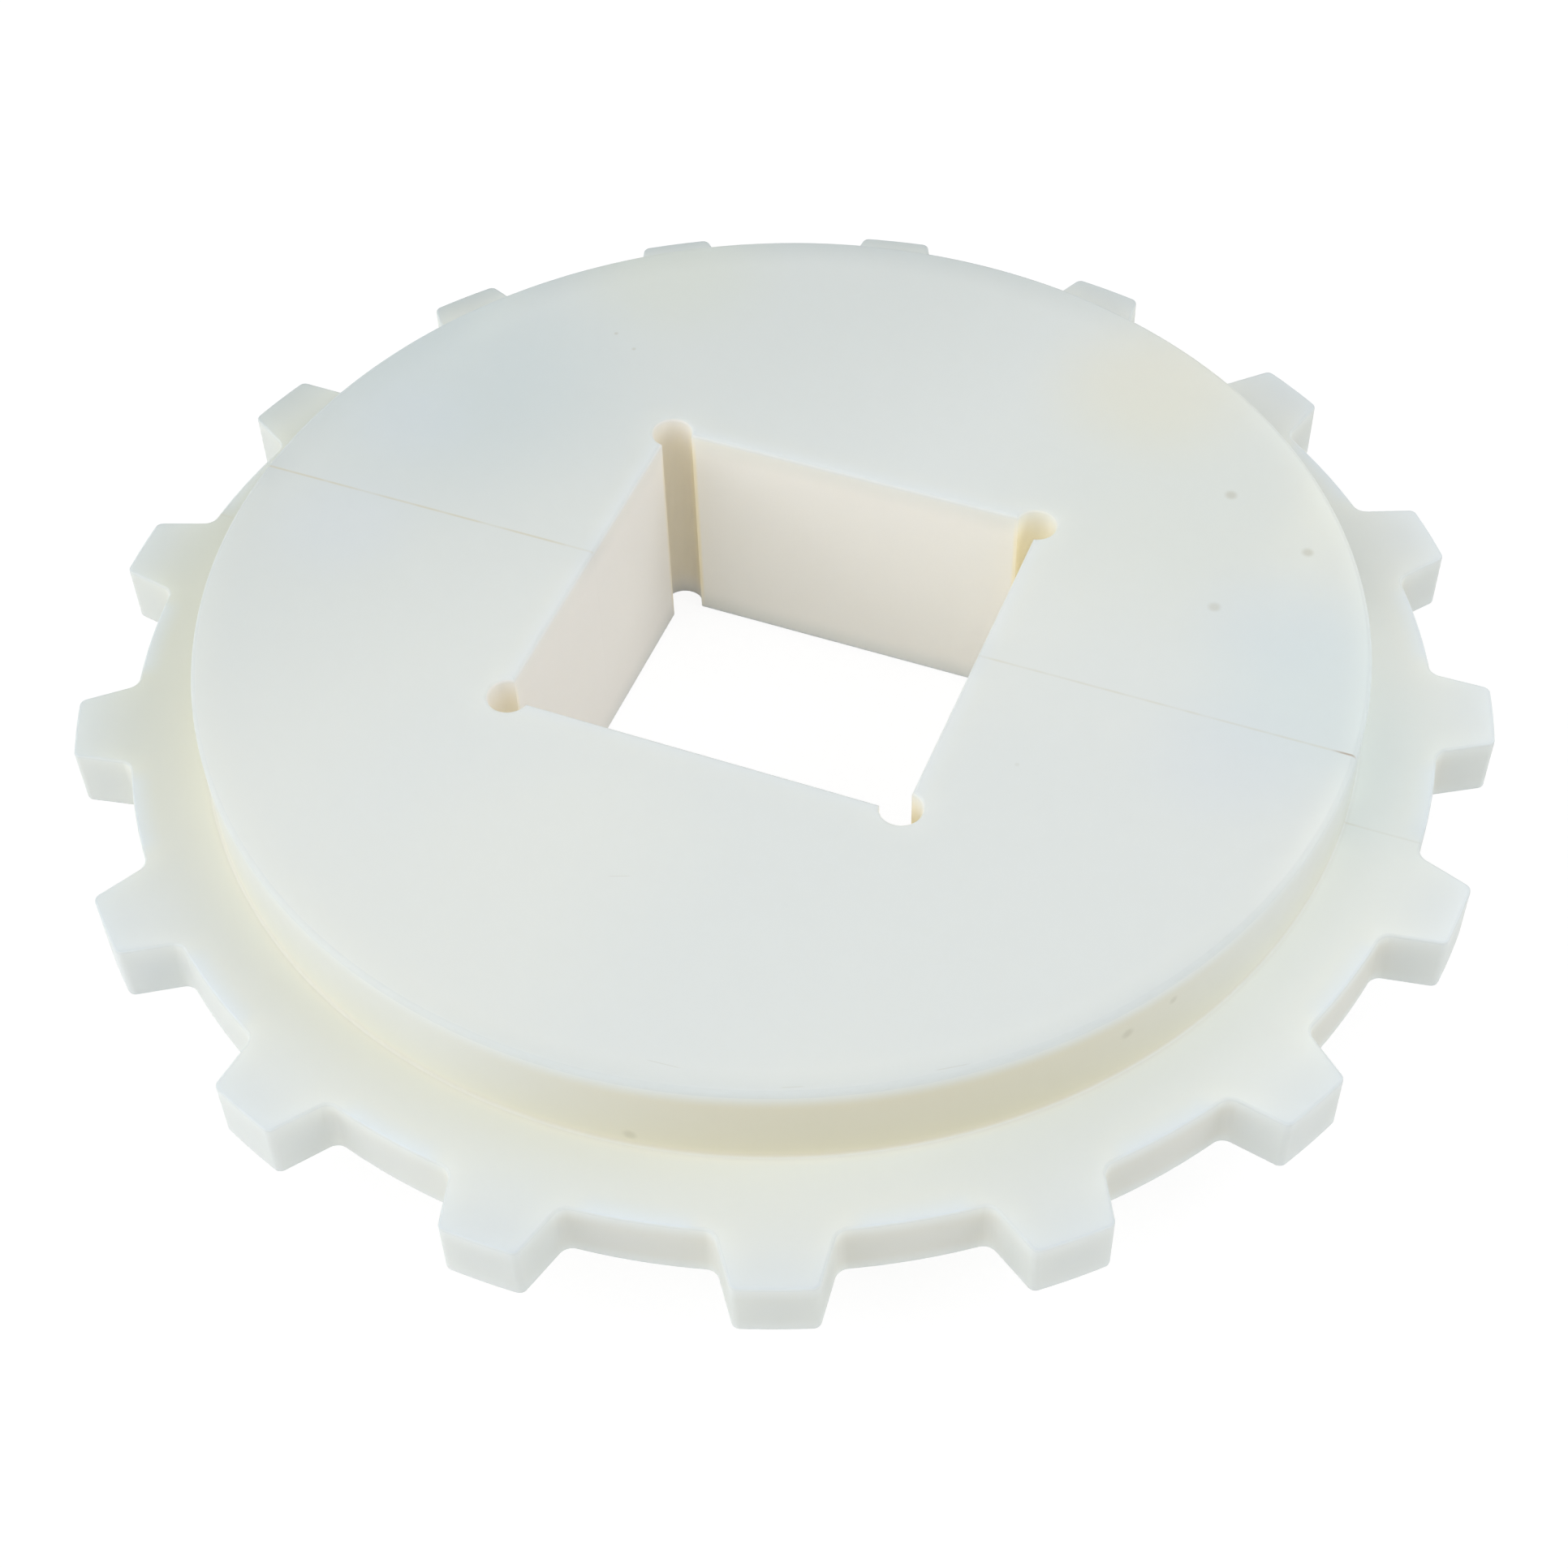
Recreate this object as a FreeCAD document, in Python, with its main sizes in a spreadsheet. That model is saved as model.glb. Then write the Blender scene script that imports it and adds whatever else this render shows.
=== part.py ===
import FreeCAD, Part
import math
import os

import Sketcher

# Split sprocket: a turned and milled nylon disc, 17 teeth, square bore, sawn in two
# across the bore and held together by four cap screws hidden in the back half.
# Frame: Z is the bore axis, z = 0 the middle of the toothed rim, X runs along the seam.
# One tooth is centred on -Y, so the front half carries nine teeth and the back half eight.

doc = FreeCAD.newDocument("split_sprocket")

# Driving dimensions in millimetres and degrees
SIZES = {
    "tooth_count": 17,
    "tip_diameter": 209,
    "tooth_height": 8.3,
    "tooth_tip_width": 11,
    "flank_angle": 15,
    "root_fillet": 2,
    "tip_round": 1.2,
    "rim_thickness": 10,
    "hub_diameter": 170,
    "hub_rise": 14,
    "hub_edge_chamfer": 0.5,
    "bore_side": 60,
    "bore_edge_chamfer": 0.4,
    "relief_diameter": 6,
    "relief_inset": 0.5,
    "seam_offset": 1,
    "seam_gap": 0.2,
    "screw_offset": 68.5,
    "screw_diameter": 6,
    "screw_length": 30,
    "head_diameter": 10,
    "head_height": 6,
    "socket_width": 5,
    "socket_depth": 3,
    "seat_depth": 15,
    "washer_diameter": 11,
    "washer_thickness": 1.6,
    "washer_clearance": 0.2,
    "hole_clearance": 0.3,
    "counterbore_clearance": 0.25,
    "rim_clearance": 0.25,
    "insert_diameter": 10,
    "insert_length": 12,
    "insert_recess": 0.2,
    "insert_slot_width": 1.5,
    "insert_slot_depth": 2.5,
    "thread_clearance": 0.05,
    "blind_clearance": 1,
    "dowel_offset": 45,
    "dowel_diameter": 8,
    "dowel_length": 24,
    "dowel_chamfer": 0.8,
    "dowel_clearance": 0.03,
}

sheet = doc.addObject("Spreadsheet::Sheet", "Sizes")
for row, (alias, number) in enumerate(SIZES.items(), start=1):
    sheet.set(f"A{row}", alias)
    sheet.set(f"B{row}", str(number))
    sheet.setAlias(f"B{row}", alias)
doc.recompute()

# Tolerance for matching edges by place, and how far a cut runs past the material
NEAR = 0.001
OVERRUN = 2

# Sizes that follow from the driving ones, as expressions on the sheet
TIP_RADIUS = "Sizes.tip_diameter / 2"
ROOT_RADIUS = "(Sizes.tip_diameter / 2 - Sizes.tooth_height)"
HUB_RADIUS = "Sizes.hub_diameter / 2"
HALF_RIM = "Sizes.rim_thickness / 2"
HALF_HUB = "(Sizes.rim_thickness / 2 + Sizes.hub_rise)"
HALF_BORE = "Sizes.bore_side / 2"
HALF_PITCH = "180 deg / Sizes.tooth_count"
FLANK_SLANT = f"{HALF_PITCH} + Sizes.flank_angle * 1 deg"
RELIEF_PLACE = "(Sizes.bore_side / 2 - Sizes.relief_inset)"
CLEAR_OUTSIDE = f"({TIP_RADIUS} + {OVERRUN})"
THROUGH = f"(2 * {HALF_HUB} + {OVERRUN})"
FRONT_FACE = "(Sizes.seam_offset - Sizes.seam_gap / 2)"
BACK_FACE = "(Sizes.seam_offset + Sizes.seam_gap / 2)"
COUNTERBORE = "(Sizes.washer_diameter + 2 * Sizes.counterbore_clearance)"
SCREW_HEIGHT = f"({HALF_RIM} + Sizes.rim_clearance + {COUNTERBORE} / 2)"
SEAT_FACE = "(Sizes.seam_offset + Sizes.seat_depth)"
HEAD_FACE = f"({SEAT_FACE} + Sizes.washer_thickness)"
THREAD_BORE = "(Sizes.screw_diameter + 2 * Sizes.thread_clearance)"
INSERT_BORE = "(Sizes.insert_diameter + 2 * Sizes.thread_clearance)"
SCREW_HOLE = "(Sizes.screw_diameter + 2 * Sizes.hole_clearance)"
DOWEL_BORE = "(Sizes.dowel_diameter + 2 * Sizes.dowel_clearance)"


def value(expression):
    """Number that an expression on the sheet gives now."""
    result = sheet.evalExpression(expression)
    return float(getattr(result, "Value", result))


def new_body(label):
    body = doc.addObject("PartDesign::Body", label)
    body.Label = label
    return body


def plane_of(body, role):
    return next(item for item in body.Origin.OriginFeatures if item.Role == role)


def new_sketch(body, name, role):
    """Empty sketch on one of the body's own origin planes."""
    sketch = body.newObject("Sketcher::SketchObject", name)
    sketch.AttachmentSupport = [(plane_of(body, role), "")]
    sketch.MapMode = "FlatFace"
    return sketch


def bind(sketch, constraint, expression):
    """Add a dimension whose value follows an expression on the sheet."""
    index = sketch.addConstraint(constraint)
    sketch.setExpression(f"Constraints[{index}]", expression)
    return index


def place_point(sketch, geometry, point, across, up):
    """Tie a point's two coordinates to expressions, or to an axis where one is zero."""
    for kind, axis, expression in (("DistanceX", -2, across), ("DistanceY", -1, up)):
        if expression == "0":
            sketch.addConstraint(Sketcher.Constraint("PointOnObject", geometry, point, axis))
        else:
            constraint = Sketcher.Constraint(kind, geometry, point, value(expression))
            bind(sketch, constraint, expression)


def draw_polygon(sketch, corners):
    """Closed outline of straight lines through corners given as pairs of expressions."""
    points = [FreeCAD.Vector(value(across), value(up), 0) for across, up in corners]
    count = len(points)
    lines = [
        sketch.addGeometry(Part.LineSegment(points[i], points[(i + 1) % count]), False)
        for i in range(count)
    ]
    for i in range(count):
        following = lines[(i + 1) % count]
        sketch.addConstraint(Sketcher.Constraint("Coincident", lines[i], 2, following, 1))
    for line, (across, up) in zip(lines, corners):
        place_point(sketch, line, 1, across, up)


def draw_circle(sketch, across, up, diameter):
    """Circle whose centre and diameter follow expressions."""
    centre = FreeCAD.Vector(value(across), value(up), 0)
    shape = Part.Circle(centre, FreeCAD.Vector(0, 0, 1), value(diameter) / 2)
    circle = sketch.addGeometry(shape, False)
    place_point(sketch, circle, 3, across, up)
    bind(sketch, Sketcher.Constraint("Diameter", circle, value(diameter)), diameter)


def mirrored(expression):
    return expression if expression == "0" else f"-({expression})"


def add_revolution(body, sketch, name):
    feature = body.newObject("PartDesign::Revolution", name)
    feature.Profile = sketch
    feature.ReferenceAxis = (sketch, ["V_Axis"])
    feature.Angle = 360
    doc.recompute()
    return feature


def add_pocket(body, sketch, name, length, both_ways=False, reverse=False):
    """Pocket that must take material away."""
    before = body.Shape.Volume
    feature = body.newObject("PartDesign::Pocket", name)
    feature.Profile = sketch
    feature.Midplane = both_ways
    feature.Reversed = reverse
    feature.setExpression("Length", length)
    doc.recompute()
    if body.Shape.Volume > before - NEAR:
        raise RuntimeError(f"{body.Label}: {name} removes nothing")
    return feature


def add_edge_feature(body, kind, name, chosen, size):
    """Fillet or chamfer on the edges of the body's tip that a test picks out."""
    base = body.Tip
    edges = [f"Edge{i}" for i, edge in enumerate(base.Shape.Edges, start=1) if chosen(edge)]
    if not edges:
        raise RuntimeError(f"{body.Label}: {name} finds no edges")
    feature = body.newObject(kind, name)
    feature.Base = (base, edges)
    feature.setExpression("Radius" if kind.endswith("Fillet") else "Size", size)
    doc.recompute()
    return feature


def radius_at(vertex):
    return math.hypot(vertex.X, vertex.Y)


def is_corner_line(edge, radius):
    """Straight edge along Z at a given distance from the bore axis."""
    ends = edge.Vertexes
    return (
        len(ends) == 2
        and abs(ends[0].X - ends[1].X) < NEAR
        and abs(ends[0].Y - ends[1].Y) < NEAR
        and abs(radius_at(ends[0]) - radius) < NEAR
    )


def lies_at_height(edge, height):
    box = edge.BoundBox
    return abs(abs(box.ZMin) - height) < NEAR and abs(box.ZMax - box.ZMin) < NEAR


# Turned blank: hub disc with the rim disc standing out of its middle
def turn_blank(body):
    sketch = new_sketch(body, f"{body.Label}_blank_profile", "XZ_Plane")
    draw_polygon(sketch, [
        ("0", mirrored(HALF_HUB)),
        (HUB_RADIUS, mirrored(HALF_HUB)),
        (HUB_RADIUS, mirrored(HALF_RIM)),
        (TIP_RADIUS, mirrored(HALF_RIM)),
        (TIP_RADIUS, HALF_RIM),
        (HUB_RADIUS, HALF_RIM),
        (HUB_RADIUS, HALF_HUB),
        ("0", HALF_HUB),
    ])
    add_revolution(body, sketch, f"{body.Label}_blank")
    radius, height = value(HUB_RADIUS), value(HALF_HUB)

    def is_hub_rim(edge):
        return lies_at_height(edge, height) and abs(radius_at(edge.Vertexes[0]) - radius) < NEAR

    name = f"{body.Label}_hub_edge_chamfer"
    add_edge_feature(body, "PartDesign::Chamfer", name, is_hub_rim, "Sizes.hub_edge_chamfer")


# Tooth gap: two straight flanks and an arc on the root circle, open to the outside
def mill_teeth(body):
    sketch = new_sketch(body, f"{body.Label}_gap_outline", "XY_Plane")
    sketch.setExpression("AttachmentOffset.Rotation.Angle", f"{HALF_PITCH} - 90 deg")
    root, outside = value(ROOT_RADIUS), value(CLEAR_OUTSIDE)
    slant = value(FLANK_SLANT)
    reach = (f"{TIP_RADIUS} * sin(Sizes.flank_angle * 1 deg)"
             " + Sizes.tooth_tip_width / 2 * cos(Sizes.flank_angle * 1 deg)")
    distance = value(reach)
    # Where the flank line, at the given distance from the axis, meets the root circle
    turn = math.radians(slant)
    along = math.sqrt(root ** 2 - distance ** 2)
    corner_x = along * math.cos(turn) + distance * math.sin(turn)
    corner_y = along * math.sin(turn) - distance * math.cos(turn)
    end_y = corner_y + (outside - corner_x) * math.tan(turn)
    half_arc = math.atan2(corner_y, corner_x)
    circle = Part.Circle(FreeCAD.Vector(), FreeCAD.Vector(0, 0, 1), root)
    arc = sketch.addGeometry(Part.ArcOfCircle(circle, -half_arc, half_arc), False)

    def flank(side):
        start = FreeCAD.Vector(corner_x, side * corner_y, 0)
        end = FreeCAD.Vector(outside, side * end_y, 0)
        return sketch.addGeometry(Part.LineSegment(start, end), False)

    upper, lower = flank(1), flank(-1)
    closing = sketch.addGeometry(Part.LineSegment(
        FreeCAD.Vector(outside, end_y, 0), FreeCAD.Vector(outside, -end_y, 0)), False)
    for constraint in (
        Sketcher.Constraint("Coincident", arc, 3, -1, 1),
        Sketcher.Constraint("Coincident", arc, 2, upper, 1),
        Sketcher.Constraint("Coincident", arc, 1, lower, 1),
        Sketcher.Constraint("Coincident", upper, 2, closing, 1),
        Sketcher.Constraint("Coincident", lower, 2, closing, 2),
        Sketcher.Constraint("Vertical", closing),
    ):
        sketch.addConstraint(constraint)
    bind(sketch, Sketcher.Constraint("Radius", arc, root), ROOT_RADIUS)
    bind(sketch, Sketcher.Constraint("DistanceX", closing, 1, outside), CLEAR_OUTSIDE)
    for line, side in ((upper, 1), (lower, -1)):
        bind(sketch, Sketcher.Constraint("Angle", line, side * turn), f"{side} * ({FLANK_SLANT})")
        bind(sketch, Sketcher.Constraint("Distance", -1, 1, line, distance), reach)
    pocket = add_pocket(body, sketch, f"{body.Label}_first_gap", THROUGH, both_ways=True)
    pattern = body.newObject("PartDesign::PolarPattern", f"{body.Label}_gaps")
    pattern.Originals = [pocket]
    pattern.Axis = (plane_of(body, "Z_Axis"), [""])
    pattern.Angle = 360
    pattern.setExpression("Occurrences", "Sizes.tooth_count")
    body.Tip = pattern
    doc.recompute()


# Root fillets and rounded tooth tips
def finish_teeth(body):
    root, tip = value(ROOT_RADIUS), value(TIP_RADIUS)

    def is_root_corner(edge):
        return is_corner_line(edge, root)

    def is_tip_corner(edge):
        return is_corner_line(edge, tip)

    for step, chosen in (("root_fillet", is_root_corner), ("tip_round", is_tip_corner)):
        name = f"{body.Label}_{step}"
        add_edge_feature(body, "PartDesign::Fillet", name, chosen, f"Sizes.{step}")


# Square bore with a round relief drilled at each corner, edges broken at both faces
def cut_bore(body):
    sketch = new_sketch(body, f"{body.Label}_bore_outline", "XY_Plane")
    low, high = mirrored(HALF_BORE), HALF_BORE
    draw_polygon(sketch, [(low, low), (high, low), (high, high), (low, high)])
    add_pocket(body, sketch, f"{body.Label}_bore", THROUGH, both_ways=True)
    sketch = new_sketch(body, f"{body.Label}_relief_circles", "XY_Plane")
    near, far = mirrored(RELIEF_PLACE), RELIEF_PLACE
    for across, up in ((near, near), (far, near), (far, far), (near, far)):
        draw_circle(sketch, across, up, "Sizes.relief_diameter")
    add_pocket(body, sketch, f"{body.Label}_reliefs", THROUGH, both_ways=True)
    height, reach = value(HALF_HUB), value("Sizes.bore_side")

    def is_bore_edge(edge):
        return lies_at_height(edge, height) and radius_at(edge.Vertexes[0]) < reach

    name = f"{body.Label}_bore_chamfer"
    add_edge_feature(body, "PartDesign::Chamfer", name, is_bore_edge, "Sizes.bore_edge_chamfer")


# Saw cut across the bore: what lies beyond the half's own seam face goes
def cut_seam(body, face, other_side):
    sketch = new_sketch(body, f"{body.Label}_seam_outline", "XY_Plane")
    left, right = mirrored(CLEAR_OUTSIDE), CLEAR_OUTSIDE
    draw_polygon(sketch, [(left, face), (right, face), (right, other_side), (left, other_side)])
    add_pocket(body, sketch, f"{body.Label}_seam", THROUGH, both_ways=True)


def seam_sketch(body, name, depth):
    """Sketch parallel to the seam, at a given distance behind the bore axis."""
    sketch = new_sketch(body, f"{body.Label}_{name}", "XZ_Plane")
    sketch.setExpression("AttachmentOffset.Base.z", mirrored(depth))
    return sketch


def screw_places():
    for across in (mirrored("Sizes.screw_offset"), "Sizes.screw_offset"):
        for up in (SCREW_HEIGHT, mirrored(SCREW_HEIGHT)):
            yield across, up


def dowel_places():
    for across in (mirrored("Sizes.dowel_offset"), "Sizes.dowel_offset"):
        yield across, "0"


def draw_places(body, name, depth, places, diameter):
    sketch = seam_sketch(body, name, depth)
    for across, up in places:
        draw_circle(sketch, across, up, diameter)
    return sketch


# Blind dowel holes in either half, from its seam face
def drill_dowel_holes(body, face, towards_front):
    sketch = draw_places(body, "dowel_circles", face, dowel_places(), DOWEL_BORE)
    depth = "Sizes.dowel_length / 2 - Sizes.seam_gap / 2 + Sizes.blind_clearance"
    add_pocket(body, sketch, f"{body.Label}_dowel_holes", depth, reverse=towards_front)


# Stepped blind holes in the front half: the insert's seat, then room for the screw's tip
def drill_insert_holes(body):
    sketch = draw_places(body, "insert_circles", FRONT_FACE, screw_places(), INSERT_BORE)
    seat = "Sizes.insert_recess + Sizes.insert_length"
    add_pocket(body, sketch, f"{body.Label}_insert_holes", seat, reverse=True)
    sketch = draw_places(body, "tip_circles", FRONT_FACE, screw_places(), SCREW_HOLE)
    screw_end = f"{FRONT_FACE} - {HEAD_FACE} + Sizes.screw_length"
    depth = f"max({screw_end}; {seat}) + Sizes.blind_clearance"
    add_pocket(body, sketch, f"{body.Label}_tip_holes", depth, reverse=True)


# Counterbored screw holes in the back half, let in from the hub's wall above and below the rim
def drill_screw_holes(body):
    sketch = draw_places(body, "screw_circles", HUB_RADIUS, screw_places(), SCREW_HOLE)
    doc.recompute()
    before = body.Shape.Volume
    hole = body.newObject("PartDesign::Hole", f"{body.Label}_screw_holes")
    hole.Profile = sketch
    hole.Reversed = True
    hole.DepthType = "ThroughAll"
    hole.setExpression("Diameter", SCREW_HOLE)
    hole.HoleCutType = "Counterbore"
    hole.HoleCutCustomValues = True
    hole.setExpression("HoleCutDiameter", COUNTERBORE)
    hole.setExpression("HoleCutDepth", f"{HUB_RADIUS} - {SEAT_FACE}")
    doc.recompute()
    if body.Shape.Volume > before - NEAR:
        raise RuntimeError(f"{body.Label}: the screw holes remove nothing")


def make_half(label, face, other_side, towards_front):
    body = new_body(label)
    turn_blank(body)
    mill_teeth(body)
    finish_teeth(body)
    cut_bore(body)
    cut_seam(body, face, other_side)
    drill_dowel_holes(body, face, towards_front)
    return body


def stand_along_bolt(body, across, depth, up):
    """Lay a piece turned about its own Z along Y, its +Z pointing to the back."""
    body.Placement.Rotation = FreeCAD.Rotation(FreeCAD.Vector(1, 0, 0), -90)
    for axis, expression in (("x", across), ("y", depth), ("z", up)):
        body.setExpression(f"Placement.Base.{axis}", expression)


def turn_profile(body, corners):
    sketch = new_sketch(body, f"{body.Label}_profile", "XZ_Plane")
    draw_polygon(sketch, corners)
    return add_revolution(body, sketch, f"{body.Label}_turning")


# Socket head cap screw: local z = 0 under the head, shank pointing down
def make_screw(label, across, up):
    body = new_body(label)
    shank, head = "Sizes.screw_diameter / 2", "Sizes.head_diameter / 2"
    turn_profile(body, [
        ("0", "-Sizes.screw_length"),
        (shank, "-Sizes.screw_length"),
        (shank, "0"),
        (head, "0"),
        (head, "Sizes.head_height"),
        ("0", "Sizes.head_height"),
    ])
    sketch = new_sketch(body, f"{label}_socket_outline", "XY_Plane")
    sketch.setExpression("AttachmentOffset.Base.z", "Sizes.head_height")
    half_flats = "Sizes.socket_width / 2"
    corner = "Sizes.socket_width / sqrt(3)"
    half_corner = f"{corner} / 2"
    draw_polygon(sketch, [
        (corner, "0"),
        (half_corner, half_flats),
        (mirrored(half_corner), half_flats),
        (mirrored(corner), "0"),
        (mirrored(half_corner), mirrored(half_flats)),
        (half_corner, mirrored(half_flats)),
    ])
    add_pocket(body, sketch, f"{label}_socket", "Sizes.socket_depth")
    stand_along_bolt(body, across, HEAD_FACE, up)
    return body


# Flat washer under the screw's head
def make_washer(label, across, up):
    body = new_body(label)
    sketch = new_sketch(body, f"{label}_outline", "XY_Plane")
    draw_circle(sketch, "0", "0", "Sizes.washer_diameter")
    draw_circle(sketch, "0", "0", "Sizes.screw_diameter + 2 * Sizes.washer_clearance")
    pad = body.newObject("PartDesign::Pad", f"{label}_disc")
    pad.Profile = sketch
    pad.setExpression("Length", "Sizes.washer_thickness")
    doc.recompute()
    stand_along_bolt(body, across, SEAT_FACE, up)
    return body


# Threaded insert: a slotted sleeve, local z = 0 at the slotted end by the seam
def make_insert(label, across, up):
    body = new_body(label)
    inside, outside = f"{THREAD_BORE} / 2", "Sizes.insert_diameter / 2"
    turn_profile(body, [
        (inside, "-Sizes.insert_length"),
        (outside, "-Sizes.insert_length"),
        (outside, "0"),
        (inside, "0"),
    ])
    sketch = new_sketch(body, f"{label}_slot_outline", "XY_Plane")
    half_width, reach = "Sizes.insert_slot_width / 2", "Sizes.insert_diameter"
    draw_polygon(sketch, [
        (mirrored(reach), mirrored(half_width)),
        (reach, mirrored(half_width)),
        (reach, half_width),
        (mirrored(reach), half_width),
    ])
    add_pocket(body, sketch, f"{label}_slot", "Sizes.insert_slot_depth")
    stand_along_bolt(body, across, f"{FRONT_FACE} - Sizes.insert_recess", up)
    return body


# Dowel pin across the seam, local z = 0 at its middle
def make_dowel(label, across):
    body = new_body(label)
    radius, half = "Sizes.dowel_diameter / 2", "Sizes.dowel_length / 2"
    bevel = f"{radius} - Sizes.dowel_chamfer"
    turn_profile(body, [
        ("0", mirrored(half)),
        (bevel, mirrored(half)),
        (radius, f"Sizes.dowel_chamfer - {half}"),
        (radius, f"{half} - Sizes.dowel_chamfer"),
        (bevel, half),
        ("0", half),
    ])
    stand_along_bolt(body, across, "Sizes.seam_offset", "0")
    return body


def make_fasteners():
    made = []
    for side, across in (("left", mirrored("Sizes.screw_offset")), ("right", "Sizes.screw_offset")):
        for level, up in (("upper", SCREW_HEIGHT), ("lower", mirrored(SCREW_HEIGHT))):
            made.append(make_screw(f"cap_screw_{side}_{level}", across, up))
            made.append(make_washer(f"washer_{side}_{level}", across, up))
            made.append(make_insert(f"threaded_insert_{side}_{level}", across, up))
    for side, across in (("left", mirrored("Sizes.dowel_offset")), ("right", "Sizes.dowel_offset")):
        made.append(make_dowel(f"dowel_pin_{side}", across))
    return made


def check(bodies):
    """Stop if any object failed or any piece isn't one valid solid."""
    for item in doc.Objects:
        if "Invalid" in item.State or "Error" in item.State:
            raise RuntimeError(f"{item.Label} failed: {item.State}")
    for body in bodies:
        shape = body.Shape
        if shape.isNull() or not shape.isValid() or len(shape.Solids) != 1:
            raise RuntimeError(f"{body.Label} isn't one valid solid")


front_half = make_half("front_half", FRONT_FACE, CLEAR_OUTSIDE, True)
drill_insert_holes(front_half)
back_half = make_half("back_half", BACK_FACE, mirrored(CLEAR_OUTSIDE), False)
drill_screw_holes(back_half)
pieces = [front_half, back_half] + make_fasteners()
doc.recompute()
check(pieces)

os.makedirs("parts", exist_ok=True)
for piece in pieces:
    piece.Shape.exportStep(f"parts/{piece.Label}.step")
    print(f"{piece.Label}: {piece.Shape.Volume:.1f} mm3, {piece.Shape.BoundBox}")
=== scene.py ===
import math

import bmesh
import bpy
from mathutils import Matrix, Vector


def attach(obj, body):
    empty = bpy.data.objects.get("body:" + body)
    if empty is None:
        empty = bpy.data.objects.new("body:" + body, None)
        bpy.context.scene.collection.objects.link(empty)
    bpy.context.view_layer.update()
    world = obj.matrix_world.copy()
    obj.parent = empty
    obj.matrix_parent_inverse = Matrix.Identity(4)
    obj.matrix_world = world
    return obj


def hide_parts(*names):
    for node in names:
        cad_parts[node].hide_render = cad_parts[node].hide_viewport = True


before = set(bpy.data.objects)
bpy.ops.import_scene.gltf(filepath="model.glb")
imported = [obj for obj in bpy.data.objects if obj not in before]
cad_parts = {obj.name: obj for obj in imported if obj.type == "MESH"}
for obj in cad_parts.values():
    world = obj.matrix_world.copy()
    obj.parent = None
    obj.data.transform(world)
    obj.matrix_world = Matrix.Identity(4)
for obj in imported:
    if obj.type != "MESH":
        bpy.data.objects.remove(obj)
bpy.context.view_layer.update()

MM = 0.001

# Sizes of the sprocket in millimetres, as the solids have them
TEETH = 17
TIP_RADIUS = 104.5
ROOT_RADIUS = 96.2
TIP_HALF_WIDTH = 5.5
FLANK_ANGLE = math.radians(15)
TIP_ROUND = 1.2
ROOT_FILLET = 2.0
HALF_RIM = 5.0
HALF_HUB = 19.0
HUB_RADIUS = 85.0
HALF_BORE = 30.0
RELIEF_RADIUS = 3.0
RELIEF_PLACE = 29.5
SEAM = 1.0
SCREW_X = 68.5
SCREW_Z = 11.0
SEAT_Y = 16.0
HEAD_Y = 17.6
DOWEL_X = 45.0

# Detail that only the scene has: half the drawn width of the seam, and the rounds on the edges
HALF_GAP = 0.006
RIM_EDGE = 0.4
HUB_EDGE = 0.85
CORNER_FILLET = 0.5
SUNK_IN_RIM = 0.02

# Round of the bore's edges: how far the outline moves inwards, and the height over the hub's face
BORE_FLARE = [(0, -0.6), (-0.03, -0.4), (-0.15, -0.17), (-0.38, -0.03), (-0.6, 0), (-1.6, 1)]

# Holes along Y: radius, start and end, where FAR lies outside the part
FAR = 130
INSERT_HOLE = (5.05, -11.3, 3)
TIP_HOLE = (3.3, -13.4, 3)
SHANK_HOLE = (3.3, -1, 30)
COUNTERBORE = (5.75, SEAT_Y, FAR)
FRONT_DOWEL_HOLE = (4.03, -12, 3)
BACK_DOWEL_HOLE = (4.03, -1, 14)

# Steps of the rounds
ROUND_STEPS = 96
HUB_STEPS = 540
HUB_EDGE_STEPS = 8
RIM_EDGE_STEPS = 4
CORNER_STEPS = 5
RELIEF_STEPS = 48

# Edges that stay sharp, points that are taken as one in metres, and the limit on the way that a
# sharp corner of an outline moves
SHARP_ANGLE = math.radians(35)
WELD_DISTANCE = 0.000002
CORNER_LIMIT = 0.5


# Geometry helpers

def link(piece):
    bpy.context.scene.collection.objects.link(piece)
    return piece


def mesh_object(name, points, faces):
    mesh = bpy.data.meshes.new(name)
    mesh.from_pydata([tuple(c * MM for c in p) for p in points], [], faces)
    mesh.validate()
    return link(bpy.data.objects.new(name, mesh))


def offset(outline, inset):
    """Closed outline moved inwards by a distance, corner by corner."""
    moved = []
    count = len(outline)
    for i in range(count):
        before, here, after = (Vector(outline[(i + k) % count]) for k in (-1, 0, 1))
        first, second = (here - before).normalized(), (after - here).normalized()
        normals = [Vector((-edge.y, edge.x)) for edge in (first, second)]
        middle = (normals[0] + normals[1]).normalized()
        moved.append(here + middle * inset / max(middle.dot(normals[0]), CORNER_LIMIT))
    return [(p.x, p.y) for p in moved]


def stacked(name, outline, profile):
    """Solid of rings: each step of the profile is an inset of the outline and a height."""
    rings = [[(x, y, z) for x, y in offset(outline, inset)] for inset, z in profile]
    count = len(outline)
    points = [p for ring in rings for p in ring]
    faces = [tuple(reversed(range(count)))]
    for k in range(len(rings) - 1):
        for i in range(count):
            j = (i + 1) % count
            faces.append((k * count + i, k * count + j, (k + 1) * count + j, (k + 1) * count + i))
    last = (len(rings) - 1) * count
    faces.append(tuple(range(last, last + count)))
    return mesh_object(name, points, faces)


def circle(radius, steps):
    return [(radius * math.cos(2 * math.pi * k / steps), radius * math.sin(2 * math.pi * k / steps))
            for k in range(steps)]


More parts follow.
